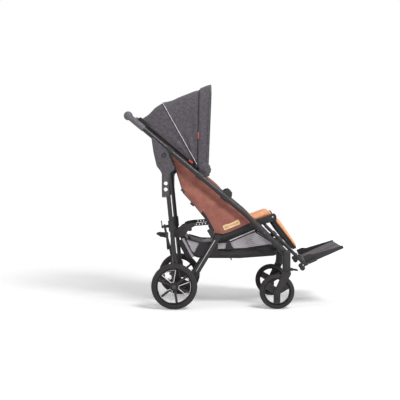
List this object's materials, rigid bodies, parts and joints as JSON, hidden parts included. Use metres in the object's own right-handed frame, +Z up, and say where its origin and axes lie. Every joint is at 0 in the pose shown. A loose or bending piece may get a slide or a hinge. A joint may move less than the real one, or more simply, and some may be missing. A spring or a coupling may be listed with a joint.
{
  "type": "special needs buggy",
  "caption": "Folding special needs buggy with an umbrella frame, padded sling seat, canopy, shopping basket, swivel casters and a ribbed footplate.",
  "frame": {"origin": "on the floor under the middle of the part's bounding box", "axes": "+X forwards, +Y to the rider's left, +Z up"},
  "size_m": [1.2022, 0.604, 1.2263],
  "materials": {
    "frame": "satin powder coat",
    "plastic": "moulded, fine grain",
    "steel": "zinc plated",
    "tyre": "matt rubber",
    "grip": "soft ribbed foam rubber",
    "wheel": "moulded",
    "footplate": "ribbed, matt",
    "panel": "woven cover",
    "pad": "padded cover",
    "canopy": "woven canopy cloth",
    "mesh": "open mesh"
  },
  "bodies": {
    "main_right": {"main_tube_right": "frame", "grip_right": "grip", "hinge_block_right": "plastic", "frame_clamps_right": "plastic", "accessory_clamp_right": "plastic", "caster_housing_right": "plastic", "side_panel_right": "panel", "back_pad": "pad", "basket": "mesh", "rear_flap": "canopy", "canopy_rear": "canopy"},
    "main_left": {"main_tube_left": "frame", "grip_left": "grip", "hinge_block_left": "plastic", "frame_clamps_left": "plastic", "accessory_clamp_left": "plastic", "caster_housing_left": "plastic", "side_panel_left": "panel"},
    "brace_front": {"x_bar_front": "frame"},
    "brace_rear": {"x_bar_rear": "frame"},
    "fold_pedal": {"fold_pedal": "plastic"},
    "transport_hook": {"transport_hook": "plastic"},
    "canopy_mid": {"canopy_mid": "canopy", "mid_bow": "frame"},
    "canopy_front": {"canopy_visor": "canopy", "front_bow": "frame"},
    "leg_right": {"rear_leg_right": "frame", "rear_housing_right": "plastic", "rear_axle_right": "steel", "back_stay_right": "frame"},
    "rear_wheel_right": {"rear_rim_right": "wheel", "rear_tyre_right": "tyre"},
    "brake_right": {"brake_pedal_right": "plastic"},
    "rail_right": {"seat_rail_right": "frame", "seat_pad": "pad", "calf_pad": "pad"},
    "strut_right": {"strut_right": "frame"},
    "sleeve_right": {"leg_sleeve_right": "plastic"},
    "caster_right": {"caster_fork_right": "plastic"},
    "front_wheel_right": {"front_rim_right": "wheel", "front_tyre_right": "tyre"},
    "swivel_lock_right": {"swivel_lock_right": "plastic"},
    "footrest_right": {"footrest_tube_right": "frame"},
    "footplate_right": {"footplate_right": "footplate"},
    "leg_left": {"rear_leg_left": "frame", "rear_housing_left": "plastic", "rear_axle_left": "steel", "back_stay_left": "frame"},
    "rear_wheel_left": {"rear_rim_left": "wheel", "rear_tyre_left": "tyre"},
    "brake_left": {"brake_pedal_left": "plastic"},
    "rail_left": {"seat_rail_left": "frame"},
    "strut_left": {"strut_left": "frame"},
    "sleeve_left": {"leg_sleeve_left": "plastic"},
    "caster_left": {"caster_fork_left": "plastic"},
    "front_wheel_left": {"front_rim_left": "wheel", "front_tyre_left": "tyre"},
    "swivel_lock_left": {"swivel_lock_left": "plastic"},
    "footrest_left": {"footrest_tube_left": "frame"},
    "footplate_left": {"footplate_left": "footplate"}
  },
  "joints": [
    {"name": "frame_fold", "type": "hinge", "parent": "main_right", "child": "leg_right", "pos_m": [-0.38005, -0.225, 0.83483], "axis": [0, -1, 0], "range_deg": [0, 34], "deforming": ["seat_pad", "back_pad", "calf_pad", "basket", "rear_flap", "canopy_rear", "canopy_mid", "canopy_visor", "mid_bow", "front_bow", "side_panel_right", "side_panel_left"]},
    {"name": "brace_front_pivot", "type": "hinge", "parent": "leg_right", "child": "brace_front", "pos_m": [-0.31639, -0.215, 0.19], "axis": [-0.9952, 0, -0.0983], "range_deg": [-34.02, 0]},
    {"name": "brace_cross_pivot", "type": "hinge", "parent": "brace_front", "child": "brace_rear", "pos_m": [-0.32916, 0, 0.31937], "axis": [-0.9952, 0, -0.0983], "range_deg": [0, 68.03]},
    {"name": "brace_left_pivot", "type": "hinge", "parent": "brace_rear", "child": "leg_left", "pos_m": [-0.31639, 0.215, 0.19], "axis": [-0.9952, 0, -0.0983], "range_deg": [-34.02, 0]},
    {"name": "left_leg_hinge", "type": "hinge", "parent": "leg_left", "child": "main_left", "pos_m": [-0.38005, 0.225, 0.83483], "axis": [0, -1, 0], "range_deg": [-34.02, 0]},
    {"name": "left_sleeve_pivot", "type": "hinge", "parent": "brace_front", "child": "sleeve_left", "pos_m": [-0.34193, 0.215, 0.44874], "axis": [-0.9952, 0, -0.0983], "range_deg": [0, 34.02]},
    {"name": "right_sleeve_pivot", "type": "hinge", "parent": "brace_rear", "child": "sleeve_right", "pos_m": [-0.34193, -0.215, 0.44874], "axis": [-0.9952, 0, -0.0983], "range_deg": [-34.02, 0]},
    {"name": "fold_pedal_pivot", "type": "hinge", "parent": "brace_front", "child": "fold_pedal", "pos_m": [-0.32916, 0, 0.31937], "axis": [-0.9952, 0, -0.0983], "range_deg": [0, 34.02]},
    {"name": "seat_rail_right_pivot", "type": "hinge", "parent": "main_right", "child": "rail_right", "pos_m": [0.12992, -0.1799, 0.44751], "axis": [0, -1, 0], "range_deg": [-40.87, 0]},
    {"name": "strut_right_pivot", "type": "hinge", "parent": "leg_right", "child": "strut_right", "pos_m": [-0.24015, -0.2, 0.132], "axis": [0, -1, 0], "range_deg": [0, 40.98]},
    {"name": "footplate_right_fold", "type": "hinge", "parent": "footrest_right", "child": "footplate_right", "pos_m": [0.38491, -0.2, 0.23624], "axis": [0.9135, 0, 0.4067], "range_deg": [0, 90.05]},
    {"name": "rear_wheel_right_spin", "type": "hinge", "parent": "leg_right", "child": "rear_wheel_right", "pos_m": [-0.32415, -0.277, 0.125], "axis": [0, 1, 0], "continuous": true},
    {"name": "brake_right_press", "type": "hinge", "parent": "leg_right", "child": "brake_right", "pos_m": [-0.35615, -0.225, 0.147], "axis": [0, -1, 0], "range_deg": [0, 22]},
    {"name": "caster_right_swivel", "type": "hinge", "parent": "main_right", "child": "caster_right", "pos_m": [0.28344, -0.246, 0.2], "axis": [0, 0, 1], "continuous": true},
    {"name": "front_wheel_right_spin", "type": "hinge", "parent": "caster_right", "child": "front_wheel_right", "pos_m": [0.23244, -0.246, 0.095], "axis": [0, 1, 0], "continuous": true},
    {"name": "swivel_lock_right_lift", "type": "hinge", "parent": "main_right", "child": "swivel_lock_right", "pos_m": [0.31544, -0.246, 0.2156], "axis": [0, -1, 0], "range_deg": [0, 35]},
    {"name": "footrest_right_slide", "type": "slide", "parent": "main_right", "child": "footrest_right", "axis": [0.7133, 0, -0.7009], "range_m": [-0.05, 0]},
    {"name": "seat_rail_left_pivot", "type": "hinge", "parent": "main_left", "child": "rail_left", "pos_m": [0.12992, 0.1799, 0.44751], "axis": [0, -1, 0], "range_deg": [-40.87, 0]},
    {"name": "strut_left_pivot", "type": "hinge", "parent": "leg_left", "child": "strut_left", "pos_m": [-0.24015, 0.2, 0.132], "axis": [0, -1, 0], "range_deg": [0, 40.98]},
    {"name": "footplate_left_fold", "type": "hinge", "parent": "footrest_left", "child": "footplate_left", "pos_m": [0.38491, 0.2, 0.23624], "axis": [0.9135, 0, 0.4067], "range_deg": [-90.05, 0]},
    {"name": "rear_wheel_left_spin", "type": "hinge", "parent": "leg_left", "child": "rear_wheel_left", "pos_m": [-0.32415, 0.277, 0.125], "axis": [0, 1, 0], "continuous": true},
    {"name": "brake_left_press", "type": "hinge", "parent": "leg_left", "child": "brake_left", "pos_m": [-0.35615, 0.225, 0.147], "axis": [0, -1, 0], "range_deg": [0, 22]},
    {"name": "caster_left_swivel", "type": "hinge", "parent": "main_left", "child": "caster_left", "pos_m": [0.28344, 0.246, 0.2], "axis": [0, 0, 1], "continuous": true},
    {"name": "front_wheel_left_spin", "type": "hinge", "parent": "caster_left", "child": "front_wheel_left", "pos_m": [0.23244, 0.246, 0.095], "axis": [0, 1, 0], "continuous": true},
    {"name": "swivel_lock_left_lift", "type": "hinge", "parent": "main_left", "child": "swivel_lock_left", "pos_m": [0.31544, 0.246, 0.2156], "axis": [0, -1, 0], "range_deg": [0, 35]},
    {"name": "footrest_left_slide", "type": "slide", "parent": "main_left", "child": "footrest_left", "axis": [0.7133, 0, -0.7009], "range_m": [-0.05, 0]},
    {"name": "transport_hook_turn", "type": "hinge", "parent": "sleeve_right", "child": "transport_hook", "pos_m": [-0.39149, -0.215, 0.44385], "axis": [0.9952, 0, 0.0983], "range_deg": [0, 90]},
    {"name": "canopy_fold", "type": "hinge", "parent": "main_right", "child": "canopy_front", "pos_m": [-0.17015, 0, 0.743], "axis": [0, -1, 0], "range_deg": [0, 40]},
    {"name": "canopy_mid_fold", "type": "hinge", "parent": "main_right", "child": "canopy_mid", "pos_m": [-0.17015, 0, 0.743], "axis": [0, -1, 0], "range_deg": [0, 18.01]}
  ],
  "couplings": [
    {"joint": "brace_front_pivot", "follows": "frame_fold", "ratio": -1},
    {"joint": "brace_cross_pivot", "follows": "frame_fold", "ratio": 2},
    {"joint": "brace_left_pivot", "follows": "frame_fold", "ratio": -1},
    {"joint": "left_leg_hinge", "follows": "frame_fold", "ratio": -1},
    {"joint": "left_sleeve_pivot", "follows": "frame_fold", "ratio": 1},
    {"joint": "right_sleeve_pivot", "follows": "frame_fold", "ratio": -1},
    {"joint": "fold_pedal_pivot", "follows": "frame_fold", "ratio": 1},
    {"joint": "seat_rail_right_pivot", "follows": "frame_fold", "ratio": -1.2014},
    {"joint": "strut_right_pivot", "follows": "frame_fold", "ratio": 1.2046},
    {"joint": "footplate_right_fold", "follows": "frame_fold", "ratio": 2.6471},
    {"joint": "seat_rail_left_pivot", "follows": "frame_fold", "ratio": -1.2014},
    {"joint": "strut_left_pivot", "follows": "frame_fold", "ratio": 1.2046},
    {"joint": "footplate_left_fold", "follows": "frame_fold", "ratio": -2.6471},
    {"joint": "footrest_left_slide", "follows": "footrest_right_slide", "ratio": 1},
    {"joint": "canopy_mid_fold", "follows": "canopy_fold", "ratio": 0.45}
  ]
}
